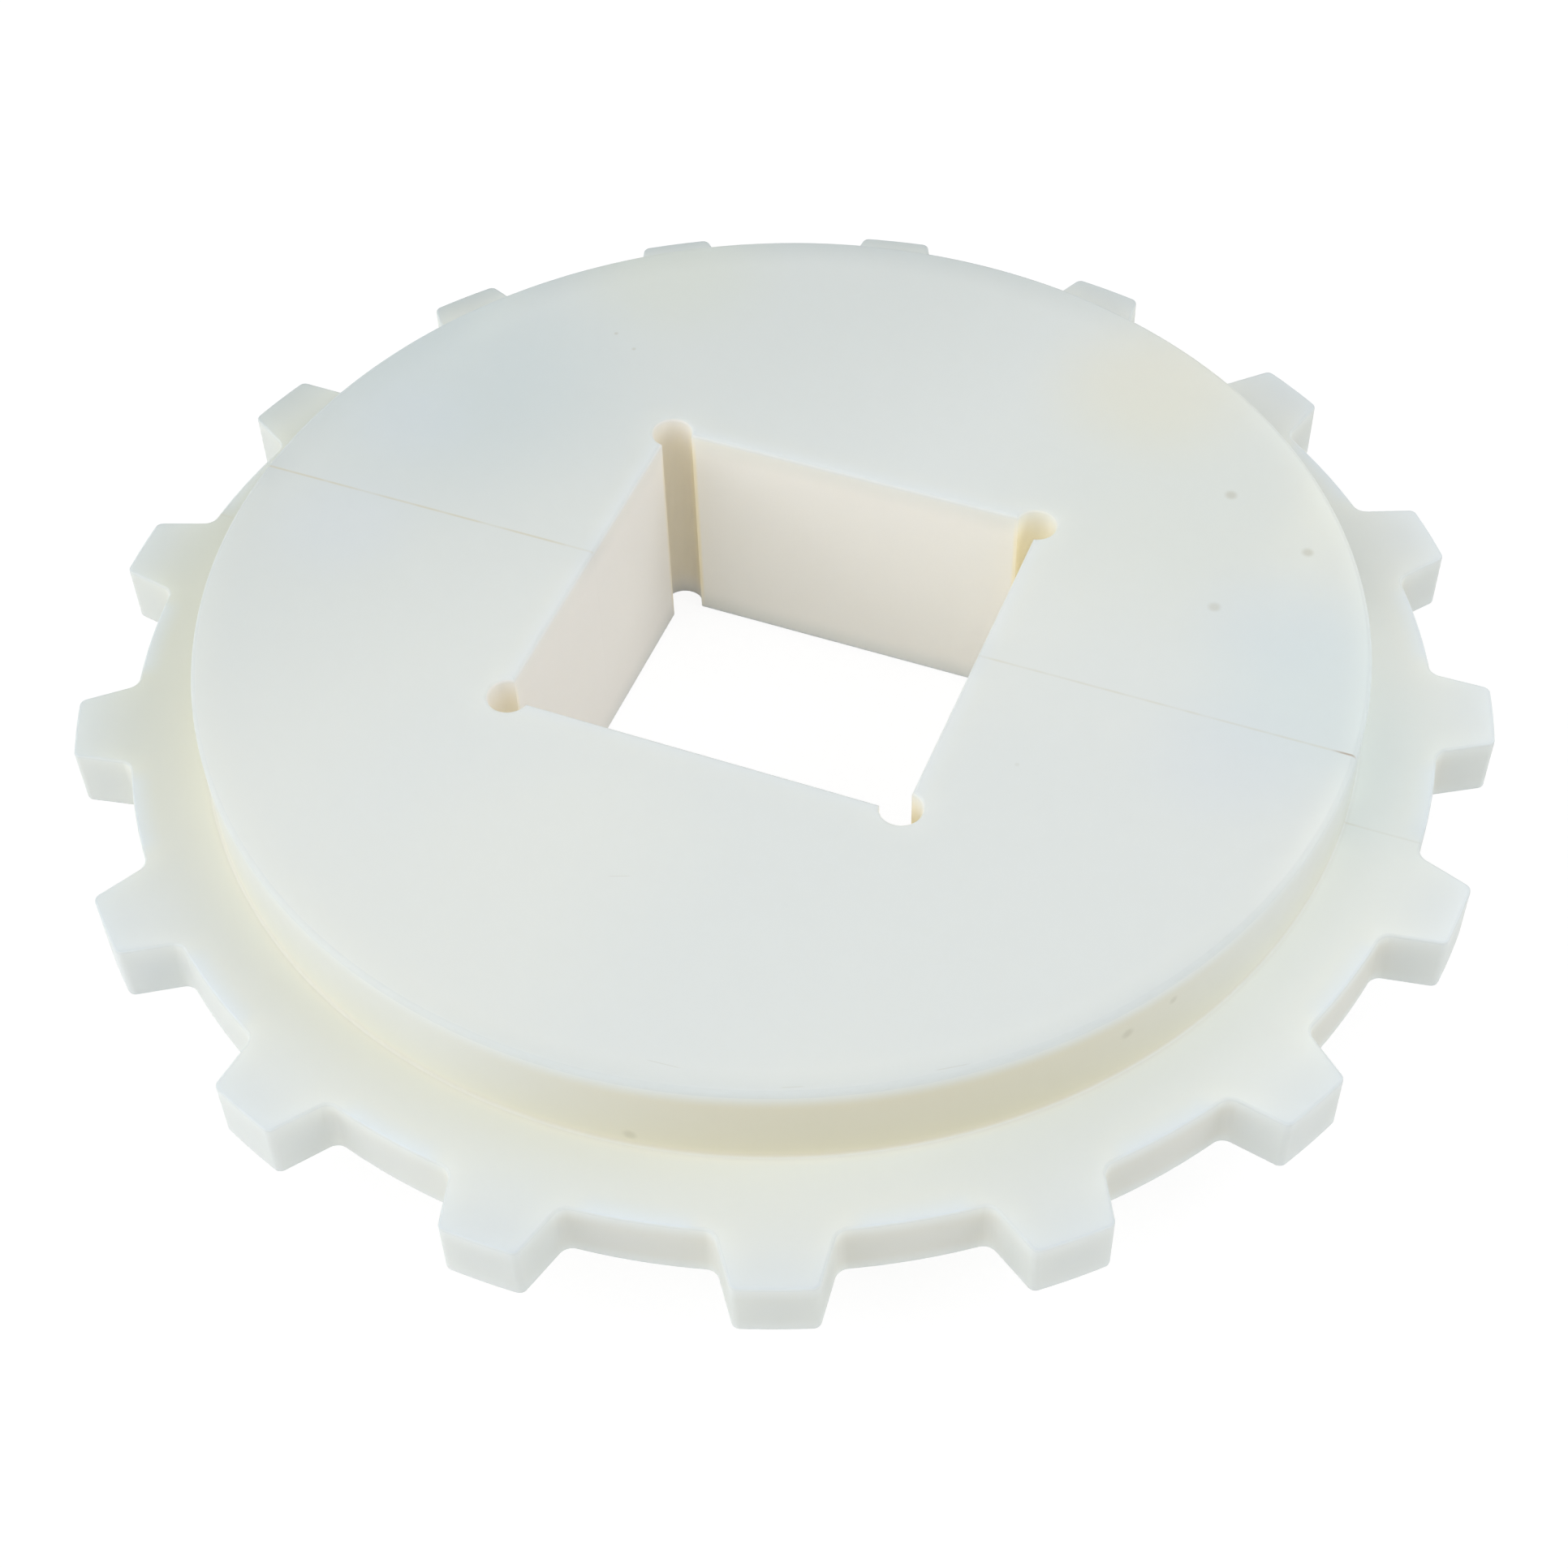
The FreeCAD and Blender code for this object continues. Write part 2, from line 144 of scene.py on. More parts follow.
def turned_copies(part, count, start=0.0):
    """Copies of a part of an outline, turned about the axis in equal steps."""
    whole = []
    for k in range(count):
        turn = start + 2 * math.pi * k / count
        c, s = math.cos(turn), math.sin(turn)
        whole += [(x * c - y * s, x * s + y * c) for x, y in part]
    return whole


def level_row(radius, height, steps):
    return [(radius, height)] * steps


def skin(name, rows, steps):
    """Closed solid from rows of (radius, height) round Z; a row whose radius is 0 closes an end."""
    points, faces, indices = [], [], []
    for row in rows:
        if row[0][0] == 0:
            indices.append([len(points)] * steps)
            points.append((0, 0, row[0][1]))
        else:
            indices.append(list(range(len(points), len(points) + steps)))
            points += [(r * math.cos(2 * math.pi * i / steps), r * math.sin(2 * math.pi * i / steps), z)
                       for i, (r, z) in enumerate(row)]
    pairs = list(zip(indices, indices[1:]))
    if rows[0][0][0] != 0:
        pairs.append((indices[-1], indices[0]))
    for low, high in pairs:
        for i in range(steps):
            j = (i + 1) % steps
            ring = list(dict.fromkeys((low[i], low[j], high[j], high[i])))
            if len(ring) > 2:
                faces.append(tuple(ring))
    return mesh_object(name, points, faces)


def lathe(name, profile):
    """Solid turned about Z from a profile of (radius, height), whose ends lie on the axis or meet."""
    return skin(name, [level_row(radius, height, ROUND_STEPS) for radius, height in profile], ROUND_STEPS)


def box_object(name, low, high):
    points = [(x, y, z) for x in (low[0], high[0]) for y in (low[1], high[1]) for z in (low[2], high[2])]
    faces = [(0, 1, 3, 2), (4, 6, 7, 5), (0, 4, 5, 1), (2, 3, 7, 6), (0, 2, 6, 4), (1, 5, 7, 3)]
    return mesh_object(name, points, faces)


def along_y(piece, x, y, z):
    """Turns a piece made about Z so that its +Z points to the back, and puts it in its place."""
    place = Matrix.Translation(Vector((x, y, z)) * MM) @ Matrix.Rotation(math.radians(-90), 4, "X")
    piece.data.transform(place)
    return piece


def combine(piece, tool, operation):
    """Union, difference or intersection with another solid, which is used up."""
    modifier = piece.modifiers.new("cut", "BOOLEAN")
    modifier.operation = operation
    modifier.solver = "MANIFOLD"
    modifier.object = tool
    graph = bpy.context.evaluated_depsgraph_get()
    result = bpy.data.meshes.new_from_object(piece.evaluated_get(graph))
    piece.modifiers.clear()
    old = piece.data
    piece.data = result
    bpy.data.meshes.remove(old)
    bpy.data.objects.remove(tool)
    return piece


def smooth(piece):
    """Smooth shading that keeps sharp edges, with flat faces staying flat."""
    form = bmesh.new()
    form.from_mesh(piece.data)
    bmesh.ops.remove_doubles(form, verts=form.verts, dist=WELD_DISTANCE)
    bmesh.ops.recalc_face_normals(form, faces=form.faces)
    for face in form.faces:
        face.smooth = True
    for edge in form.edges:
        if len(edge.link_faces) == 2:
            edge.smooth = edge.calc_face_angle(0) < SHARP_ANGLE
    form.to_mesh(piece.data)
    form.free()
    modifier = piece.modifiers.new("flat faces", "WEIGHTED_NORMAL")
    modifier.mode = "FACE_AREA"
    modifier.keep_sharp = True
    return piece


# Outlines: the toothed rim with one tooth centred on -Y, and the bore

def on_flank(side_distance, radius):
    """Centre of a round that touches the flank at a distance and lies at a radius from the axis."""
    start = Vector((TIP_RADIUS, TIP_HALF_WIDTH))
    along = Vector((-math.cos(FLANK_ANGLE), math.sin(FLANK_ANGLE)))
    away = Vector((math.sin(FLANK_ANGLE), math.cos(FLANK_ANGLE)))
    base = start + away * side_distance
    half = base.dot(along)
    roots = [-half + s * math.sqrt(half * half - base.dot(base) + radius * radius) for s in (-1, 1)]
    reach = min(roots, key=abs)
    return base + along * reach, away


def arc(centre, radius, start, end, steps):
    return [(centre[0] + radius * math.cos(start + (end - start) * k / steps),
             centre[1] + radius * math.sin(start + (end - start) * k / steps)) for k in range(steps + 1)]


def tooth_outline():
    tip_steps, round_steps, fillet_steps, root_steps = 5, 10, 12, 6
    half_pitch = math.pi / TEETH
    tip_centre, away = on_flank(-TIP_ROUND, TIP_RADIUS - TIP_ROUND)
    root_centre, _ = on_flank(ROOT_FILLET, ROOT_RADIUS + ROOT_FILLET)
    tip_turn = math.atan2(tip_centre.y, tip_centre.x)
    root_turn = math.atan2(root_centre.y, root_centre.x)
    flank_turn = math.atan2(away.y, away.x)
    half = arc((0, 0), TIP_RADIUS, 0, tip_turn, tip_steps)[:-1]
    half += arc(tip_centre, TIP_ROUND, tip_turn, flank_turn, round_steps)
    half += arc(root_centre, ROOT_FILLET, flank_turn + math.pi, root_turn + math.pi, fillet_steps)
    half += arc((0, 0), ROOT_RADIUS, root_turn, half_pitch, root_steps)[1:]
    mirror = [(x, -y) for x, y in reversed(half[1:-1])]
    return turned_copies(mirror + half, TEETH, -math.pi / 2)


def bore_outline():
    reach = math.sqrt(RELIEF_RADIUS ** 2 - (HALF_BORE - RELIEF_PLACE) ** 2)
    start = math.atan2(-reach, HALF_BORE - RELIEF_PLACE)
    corner = arc((RELIEF_PLACE, RELIEF_PLACE), RELIEF_RADIUS, start, math.pi / 2 - start, RELIEF_STEPS)
    return turned_copies(corner, 4)


def edge_round(size, height, steps):
    """Steps of a quarter round at the top edge, from the wall to the face."""
    return [(size * (1 - math.cos(a)), height - size * (1 - math.sin(a)))
            for a in (math.pi / 2 * k / steps for k in range(steps + 1))]


def both_ends(steps):
    """The profile's upper half with its mirror image below it."""
    return [(inset, -z) for inset, z in reversed(steps)] + list(steps)


# The two halves

def hub_profile():
    blend = [(-CORNER_FILLET * (1 - math.sin(a)), HALF_RIM + CORNER_FILLET * (1 - math.cos(a)))
             for a in (math.pi / 2 * k / CORNER_STEPS for k in range(CORNER_STEPS + 1))]
    inside_rim = [(-CORNER_FILLET, HALF_RIM - SUNK_IN_RIM)]
    return both_ends(inside_rim + blend[1:] + edge_round(HUB_EDGE, HALF_HUB, HUB_EDGE_STEPS))


def sprocket_body():
    rim = stacked("rim", tooth_outline(), both_ends(edge_round(RIM_EDGE, HALF_RIM, RIM_EDGE_STEPS)))
    hub = stacked("hub", circle(HUB_RADIUS, HUB_STEPS), hub_profile())
    combine(rim, hub, "UNION")
    flare = [(inset, HALF_HUB + rise) for inset, rise in BORE_FLARE]
    bore = stacked("bore", bore_outline(), both_ends(flare))
    return combine(rim, bore, "DIFFERENCE")


def drill(half, hole, x, z):
    """Cuts a round hole along Y, given by its radius, start and end."""
    radius, start, end = hole
    tool = stacked("drill", circle(radius, ROUND_STEPS), [(0, 0), (0, end - start)])
    combine(half, along_y(tool, x, start, z), "DIFFERENCE")


def screw_places():
    for side, x in (("left", -SCREW_X), ("right", SCREW_X)):
        for level, z in (("upper", SCREW_Z), ("lower", -SCREW_Z)):
            yield f"{side}_{level}", x, z


def make_halves():
    back = sprocket_body()
    front = back.copy()
    front.data = back.data.copy()
    link(front)
    combine(front, box_object("keep", (-FAR, -FAR, -FAR), (FAR, SEAM - HALF_GAP, FAR)), "INTERSECT")
    combine(back, box_object("keep", (-FAR, SEAM + HALF_GAP, -FAR), (FAR, FAR, FAR)), "INTERSECT")
    for _, x, z in screw_places():
        drill(front, INSERT_HOLE, x, z)
        drill(front, TIP_HOLE, x, z)
        drill(back, SHANK_HOLE, x, z)
        drill(back, COUNTERBORE, x, z)
    for x in (-DOWEL_X, DOWEL_X):
        drill(front, FRONT_DOWEL_HOLE, x, 0)
        drill(back, BACK_DOWEL_HOLE, x, 0)
    front.name, back.name = "front_half_turned", "back_half_turned"
    return smooth(front), smooth(back)


# Screws and inserts: the radius follows the helix, so both share one thread

# Pitch and depth of the threads, and the crest's flat as a share of the pitch
SCREW_THREAD = (1.0, 0.54)
INSERT_THREAD = (1.5, 0.7)
CREST_FLAT = 0.125

# Shank of the screw, from its tip to THREAD_TOP under the head
SCREW_STEPS = 144
SCREW_ROWS_PER_MM = 10
SCREW_RADIUS = 3.0
SCREW_LENGTH = 30.0
PLAIN_SHANK = 6.0
THREAD_FADE = 1.0
TIP_BEVEL = 0.8
THREAD_TOP = -0.4

# Head and socket as profiles of (radius, height over the seat), and the heights of the knurl's rows
UNDER_HEAD = [(3.08, -0.15), (3.25, 0), (4.6, 0), (4.85, 0.1)]
KNURL_HEIGHTS = (0.35, 0.65, 2, 3.5, 5.1, 5.4)
HEAD_TOP = [(4.93, 5.62), (4.78, 5.8), (4.55, 5.93), (4.2, 6), (0, 6)]
HEAD_RADIUS = 5.0
KNURL_COUNT = 36
KNURL_DEPTH = 0.14
KNURL_FADE = 0.3
SOCKET_WIDTH = 5
SOCKET_FROM, SOCKET_TO = 3, 7
SOCKET_LEAD = [(0, 5.7), (2.62, 5.7), (3.0, 6.05), (0, 6.05)]
SOCKET_CONE = [(0, 1.9), (2.3, 3.05), (0, 3.05)]

# Insert, from its end at the step of the hole to its face, which lies sunk under the seam
INSERT_STEPS = 120
INSERT_OUTER_ROWS_PER_MM = 8
INSERT_LENGTH = 12.0
INSERT_RADIUS = 5.0
INSERT_BORE = 3.06
INSERT_CREST = 2.52
INSERT_BEVEL = 0.5
MOUTH_BEVEL = 0.6
INSERT_SUNK = 0.2
INSERT_FACE = SEAM - HALF_GAP - INSERT_SUNK
SLOT_LOW, SLOT_HIGH = (-8, -0.75, -2.5), (8, 0.75, 2)


def thread_shape(turn, height, pitch, depth):
    """Depth below the crest at a place on a right-hand 60 degree thread."""
    phase = (height / pitch - turn / (2 * math.pi)) % 1
    slope = min(max((abs(phase - 0.5) - CREST_FLAT / 2) / (0.5 - CREST_FLAT), 0), 1)
    return depth * slope


def threaded_surface(low, high, rows_per_mm, steps, radius_at):
    """Rows of points whose radius is given by a function of angle and height."""
    count = round((high - low) * rows_per_mm)
    rows = []
    for k in range(count + 1):
        height = low + (high - low) * k / count
        rows.append([(radius_at(2 * math.pi * i / steps, height), height) for i in range(steps)])
    return rows


def screw_radius(turn, height):
    """Radius of the screw's shank: plain under the head, bevelled at the tip."""
    fade = min(max((height + PLAIN_SHANK + THREAD_FADE) / THREAD_FADE, 0), 1)
    bevel = max(TIP_BEVEL - (height + SCREW_LENGTH), 0)
    thread = SCREW_RADIUS - thread_shape(turn, height, *SCREW_THREAD) * (1 - fade)
    return min(thread, SCREW_RADIUS - bevel)


def knurl(turn, height):
    """Radius of the screw's head, whose knurl fades out at both ends."""
    back_shade = KNURL_DEPTH * (0.5 - 0.5 * math.cos(turn * KNURL_COUNT))
    below, above = KNURL_HEIGHTS[0], KNURL_HEIGHTS[-1]
    edge = min(1, max(0, (above - height) / KNURL_FADE), max(0, (height - below) / KNURL_FADE))
    return HEAD_RADIUS - back_shade * edge


def make_screw(name, x, z):
    steps = SCREW_STEPS
    rows = [level_row(0, -SCREW_LENGTH, steps)]
    rows += threaded_surface(-SCREW_LENGTH, THREAD_TOP, SCREW_ROWS_PER_MM, steps, screw_radius)
    rows += [level_row(radius, height, steps) for radius, height in UNDER_HEAD]
    rows += [[(knurl(2 * math.pi * i / steps, h), h) for i in range(steps)] for h in KNURL_HEIGHTS]
    rows += [level_row(radius, height, steps) for radius, height in HEAD_TOP]
    screw = skin(name, rows, steps)
    hexagon = circle(SOCKET_WIDTH / math.sqrt(3), 6)
    combine(screw, stacked("socket", hexagon, [(0, SOCKET_FROM), (0, SOCKET_TO)]), "DIFFERENCE")
    combine(screw, lathe("lead", SOCKET_LEAD), "DIFFERENCE")
    combine(screw, lathe("cone", SOCKET_CONE), "DIFFERENCE")
    return smooth(along_y(screw, x, HEAD_Y, z))


def insert_outside(turn, height):
    bevel = max(INSERT_BEVEL - (height + INSERT_LENGTH), height + INSERT_BEVEL, 0)
    return INSERT_RADIUS - max(thread_shape(turn, height, *INSERT_THREAD), bevel)


def insert_inside(turn, height):
    mouth = max(MOUTH_BEVEL - (height + INSERT_LENGTH), height + MOUTH_BEVEL, 0)
    depth = thread_shape(turn, height + INSERT_FACE - HEAD_Y, *SCREW_THREAD)
    return max(INSERT_BORE - depth, INSERT_CREST + mouth)


def make_insert(name, x, z):
    """Slotted sleeve, coarse thread outside and the screw's own thread inside."""
    steps = INSERT_STEPS
    outer = threaded_surface(-INSERT_LENGTH, 0, INSERT_OUTER_ROWS_PER_MM, steps, insert_outside)
    inner = threaded_surface(-INSERT_LENGTH, 0, SCREW_ROWS_PER_MM, steps, insert_inside)
    sleeve = skin(name, outer + inner[::-1], steps)
    combine(sleeve, box_object("slot", SLOT_LOW, SLOT_HIGH), "DIFFERENCE")
    return smooth(along_y(sleeve, x, INSERT_FACE, z))


# Washers and dowels, as profiles of (radius, height)

WASHER_PROFILE = [
    (3.3, 0), (5.3, 0), (5.44, 0.05), (5.5, 0.2), (5.5, 1.3), (5.42, 1.48), (5.25, 1.6),
    (3.35, 1.6), (3.22, 1.52), (3.2, 1.4), (3.2, 0.1),
]
DOWEL_PROFILE = [
    (0, -12), (3.1, -12), (3.3, -11.9), (3.97, -10.9), (4, -10.6), (4, 10.9), (3.9, 11.2), (3.65, 11.4),
]
DOWEL_RADIUS = 4
DOWEL_END = 12
DOME_RISE = 0.5
DOME_ANGLE = 0.9
DOME_STEPS = 8


def make_washer(name, x, z):
    return smooth(along_y(lathe(name, WASHER_PROFILE), x, SEAT_Y, z))


def make_dowel(name, x):
    """Pin with a bevelled end at the front and a domed one at the back."""
    dome = []
    for k in reversed(range(DOME_STEPS + 1)):
        turn = DOME_ANGLE * k / DOME_STEPS
        fall = DOME_RISE * (1 - math.cos(turn)) / (1 - math.cos(DOME_ANGLE))
        dome.append((DOWEL_RADIUS * math.sin(turn), DOWEL_END - fall))
    return smooth(along_y(lathe(name, DOWEL_PROFILE + dome), x, SEAM, 0))


# Node materials, whose noise lies mostly within a range

NOISE_RANGE = (0.3, 0.7)


class Nodes:
    """Short way to fill the node tree of a material or of the world."""

    def __init__(self, owner):
        owner.use_nodes = True
        self.owner = owner
        self.tree = owner.node_tree
        self.tree.nodes.clear()

    def add(self, kind, settings=None, **inputs):
        node = self.tree.nodes.new(kind)
        for key, setting in (settings or {}).items():
            setattr(node, key, setting)
        for key, given in inputs.items():
            self.set(node, key.replace("_", " "), given)
        return node

    def set(self, node, key, given):
        """Links a socket to the output of another node, or gives it a value."""
        socket = node.inputs[key]
        if hasattr(given, "is_output"):
            self.tree.links.new(given, socket)
        else:
            socket.default_value = given

    def math(self, operation, a, b=0.0, clamp=False):
        node = self.add("ShaderNodeMath", {"operation": operation, "use_clamp": clamp})
        self.set(node, 0, a)
        self.set(node, 1, b)
        return node.outputs[0]

    def vector_math(self, operation, a, b):
        node = self.add("ShaderNodeVectorMath", {"operation": operation})
        self.set(node, 0, a)
        self.set(node, 1, b)
        return node

    def distance(self, first, second, point):
        """Distance in a plane between a pair of measures and a fixed point."""
        pair = self.add("ShaderNodeCombineXYZ", X=first, Y=second).outputs[0]
        return self.vector_math("DISTANCE", pair, (*point, 0)).outputs["Value"]

    def ramp(self, source, low, high, out_low=0.0, out_high=1.0):
        """Source between low and high, eased, onto another range."""
        node = self.add("ShaderNodeMapRange", {"interpolation_type": "SMOOTHSTEP"}, Value=source)
        for key, given in (("From Min", low), ("From Max", high), ("To Min", out_low), ("To Max", out_high)):
            node.inputs[key].default_value = given
        return node.outputs["Result"]

    def mix(self, share, colour, tint):
        node = self.add("ShaderNodeMix", {"data_type": "RGBA"})
        factor_socket, first_socket, second_socket = 0, 6, 7
        self.set(node, factor_socket, share)
        for key, given in ((first_socket, colour), (second_socket, tint)):
            self.set(node, key, (*given, 1) if isinstance(given, tuple) else given)
        return node.outputs[2]

    def noise(self, place, scale, detail):
        return self.add("ShaderNodeTexNoise", Vector=place, Scale=scale, Detail=detail).outputs["Fac"]

    def place_mm(self):
        place = self.add("ShaderNodeTexCoord").outputs["Object"]
        return self.vector_math("MULTIPLY", place, (1 / MM, 1 / MM, 1 / MM)).outputs[0]

    def principled(self, colour, roughness, height, bump_strength, bump_distance):
        """Shader whose fine relief rises by the bump's distance where the height is 1."""
        bump = self.add("ShaderNodeBump", Height=height, Strength=bump_strength, Distance=bump_distance)
        return self.add("ShaderNodeBsdfPrincipled", Base_Color=colour, Roughness=roughness,
                        Normal=bump.outputs[0])

    def finish(self, shader, kind="ShaderNodeOutputMaterial"):
        self.add(kind, Surface=shader.outputs[0])
        return self.owner


def new_material(name):
    return Nodes(bpy.data.materials.new(name))


def linear(red, green, blue):
    """Colour as it is seen, 0 to 255, turned into the linear values that a shader takes."""
    return tuple(((c / 255 + 0.055) / 1.055) ** 2.4 for c in (red, green, blue))


BODY_WARM = linear(229, 233, 229)
BODY_COOL = linear(226, 231, 229)
# Painted warm light on the rim beside the hub
WARM_RIM_LIGHT = linear(237, 235, 215)
# Painted warm shade on the hub's wall
WALL_WARM_SHADE = linear(222, 217, 193)
# Painted light on the walls of the bore
BORE_LIGHT = linear(253, 251, 244)
# Painted light in the bore's reliefs
RELIEF_LIGHT = linear(255, 246, 218)
# Painted cool light at thin places and edges
COOL_EDGE_LIGHT = linear(224, 231, 235)
SPECK = linear(176, 172, 150)
SEAM_TAN = linear(208, 198, 166)
SEAM_BROWN = linear(160, 128, 100)
# Painted warm shade on the walls of the gaps
GAP_WARM_SHADE = linear(218, 215, 201)
# Painted light in the screw holes
HOLE_LIGHT = linear(248, 242, 226)
# Olive: painted shade on the rim at its left, and the tint of two spots
OLIVE = linear(215, 221, 208)
WARM_SPOT = linear(232, 228, 206)
# Painted shade over the fasteners
BLUISH = linear(214, 223, 232)
# Painted shade towards the back left, off the hub's face
BACK_SHADE_WARM = linear(225, 228, 220)
# Painted warm shade on the outer faces of the teeth
WARM_TOOTH_SHADE = linear(216, 219, 208)
TIP_SHADE = linear(160, 173, 178)
BORE_SHADE = linear(231, 227, 226)
# Painted shade towards the back left, on the hub's face
BACK_SHADE_COOL = linear(215, 221, 219)
# Painted shade over the fasteners at the left
TEAL_SHADE = linear(200, 213, 216)
# Painted shade over the fasteners at the right
CYAN = linear(209, 226, 230)
# Painted light on the rim at its right and on the hub's edge at the right
PAINTED_LIGHT = linear(247, 251, 246)
# Painted cool light on the rim beside the hub at the right, at the roots of the gaps and at the tips of the
# teeth
PAINTED_COOL_LIGHT = linear(228, 238, 247)
# Painted light in the crease at the foot of the hub
CORNER_GLOW = linear(239, 234, 215)
EDGE_SHADE = linear(208, 215, 215)
CREASE_SHADE = linear(211, 210, 203)

# Directions in the plane of the teeth that the painted light and shade follow
BACK_LEFT = (-0.8, 0.6)
DIRECTIONS = {
    "front": (0, -1),
    "front_right": (0.5, -0.866),
    "right": (0.961, 0.276),
    "far": (-0.588, 0.809),
}

# Limits of a tint: a measure, where its ramp starts and ends, and the shares there if not 0 and 1
FLAT = ("level", 0.5, 0.9)
UPRIGHT = ("level", 0.5, 0.9, 1, 0)
AT_FACE = ("height", HALF_HUB - 1.0, HALF_HUB - 0.2)
ON_RIM = ("height", 5.1, 5.6, 1, 0)
OUTSIDE_HUB = ("radius", 83.5, 84.5)
NEAR_HUB = ("corner", 0.5, 13, 1, 0)
HUB_RING = ("radius", HUB_RADIUS - 4, HUB_RADIUS)
IN_BORE = ("square", 34, 35, 1, 0)
TOOTH_TIP = ("radius", 97.5, 105.5)
GAP_ROOT = ("radius", 92.5, 96.5)
IN_GAP = ("tooth", -0.6, 0, 1, 0)
NOT_RIGHT = ("right", 0.74, 0.92, 1, 0.05)
NOT_FAR = ("far", 0.5, 0.9, 0.5, 0.05)

# The body has soft clouds, and painted shade makes it darker towards the back left
CLOUDS = ("cloud", 0.35, 0.65)
BACK_SHADE_RAMP = ("across", -5, 60)
BACK_SHADE_SHARE = 0.85

# Painted light and shade on the nylon, in their order, each with its share and its limits. Light that has
# gone far through the nylon comes out warm, and thin places and edges look cooler: this is painted here, and
# so are lighter hollows and darker walls and edges.
TINTS = [
    # Painted warm shade on the outer faces of the teeth, painted shade on the rim at its left and painted
    # light on the rim at its right
    (WARM_TOOTH_SHADE, 0.7, [UPRIGHT, ("radius", 97, 101), ("height", 2, 4.6, 1, 0.35), ("x", 40, 80, 1, 0.5),
                     ("x", -70, 60)]),
    (OLIVE, 0.55, [FLAT, ON_RIM, ("x", -100, -60, 1, 0)]),
    (PAINTED_LIGHT, 1, [FLAT, ON_RIM, ("x", 60, 95), ("radius", 87, 96, 1, 0.6)]),
    # Painted warm and cool light on the rim beside the hub, painted warm shade on the hub's wall, strongest
    # at the front right, and painted light and shade in the crease between them
    (WARM_RIM_LIGHT, 0.35, [OUTSIDE_HUB, NEAR_HUB]),
    (PAINTED_COOL_LIGHT, 0.35, [OUTSIDE_HUB, NEAR_HUB, FLAT, ("x", -5, 50)]),
    (WALL_WARM_SHADE, 1, [UPRIGHT, ("from_wall", 0.6, 1.6, 1, 0), ("height", HALF_HUB - 3.5, HALF_HUB - 0.3, 1, 0),
                     ("front_right", 0.72, 1.03, 0.15, 0.9)]),
    (CORNER_GLOW, 1, [OUTSIDE_HUB, ("corner", 0.3, 2, 1, 0), ("front", 0.1, 0.8, 0.05, 0.25)]),
    (CREASE_SHADE, 0.33, [OUTSIDE_HUB, ("corner", 0.1, 0.9, 1, 0)]),
    # Painted warm shade on the walls of the gaps, painted light on the walls of the bore, of its reliefs and
    # of the screw holes, and painted shade on the bore's left wall
    (GAP_WARM_SHADE, 1, [UPRIGHT, ("radius", 94, 101, 1, 0), ("radius", 90, 94), ("height", 2, 5, 1, 0),
                    ("x", -40, 30, 0.05, 0.65)]),
    (BORE_LIGHT, 1, [UPRIGHT, IN_BORE, ("height", HALF_HUB - 5, HALF_HUB, 1, 0.4)]),
    (RELIEF_LIGHT, 1, [UPRIGHT, ("relief", 3.2, 3.8, 1, 0), ("height", 13, HALF_HUB, 1, 0.1)]),
    (BORE_SHADE, 0.4, [UPRIGHT, IN_BORE, ("x", 1.5 - HALF_BORE, 3 - HALF_BORE, 1, 0)]),
    (HOLE_LIGHT, 0.9, [("screw", 5.85, 6.1, 1, 0), ("y", -18, -15),
                       ("height", HALF_RIM + 0.02, HALF_RIM + 0.2),
                       ("radius", HUB_RADIUS - 0.6, HUB_RADIUS - 0.1, 1, 0)]),
    # Painted shade on the edge of the hub at the front right and on every rounded edge, and painted cool
    # light at the bore's edge and over the teeth
    (EDGE_SHADE, 1, [AT_FACE, HUB_RING, ("front_right", 0.6, 0.95, 0.05, 0.45)]),
    (EDGE_SHADE, 1, [("level", 0.01, 0.12), ("level", 0.97, 0.9995, 1, 0), ("corner", 1, 1.6),
                     ("square", 33, 37, 0.05, 0.4)]),
    (COOL_EDGE_LIGHT, 0.4, [AT_FACE, ("square", HALF_BORE, HALF_BORE + 3, 1, 0)]),
    (COOL_EDGE_LIGHT, 0.32, [("radius", 93, 103)]),
    # Painted shade on the hub's edge at the far side and on the rim along its outline, painted cool light
    # along the outline away from the far side, and painted light on the hub's edge at the right
    (TIP_SHADE, 0.34, [AT_FACE, ("radius", 78, 86), ("far", 0.2, 1.05)]),
    (TIP_SHADE, 0.12, [FLAT, GAP_ROOT, IN_GAP, NOT_RIGHT]),
    (PAINTED_COOL_LIGHT, 1, [FLAT, GAP_ROOT, IN_GAP, NOT_FAR]),
    (PAINTED_COOL_LIGHT, 0.6, [FLAT, TOOTH_TIP, NOT_FAR]),
    (PAINTED_LIGHT, 0.285, [AT_FACE, HUB_RING, ("right", 0.74, 0.92)]),
    (TIP_SHADE, 1, [FLAT, TOOTH_TIP, NOT_RIGHT, ("far", 0.35, 1.1, 0.14, 0.56)]),
]

# Dirt drawn into the seam, brownest at its right end
SEAM_TINTS = [
    (SEAM_TAN, 1, [FLAT, ("seam", 0.05, 0.3, 1, 0), ("broken", 0.3, 0.6, 0.35, 1), ("radius", 84, 90, 1, 0.4),
                   ("x", -40, 60, 0.5, 0.25)]),
    (SEAM_BROWN, 0.6, [("seam", 0.05, 0.25, 1, 0), ("x", 81, 83.5), ("radius", 84, 85.2, 1, 0)]),
]

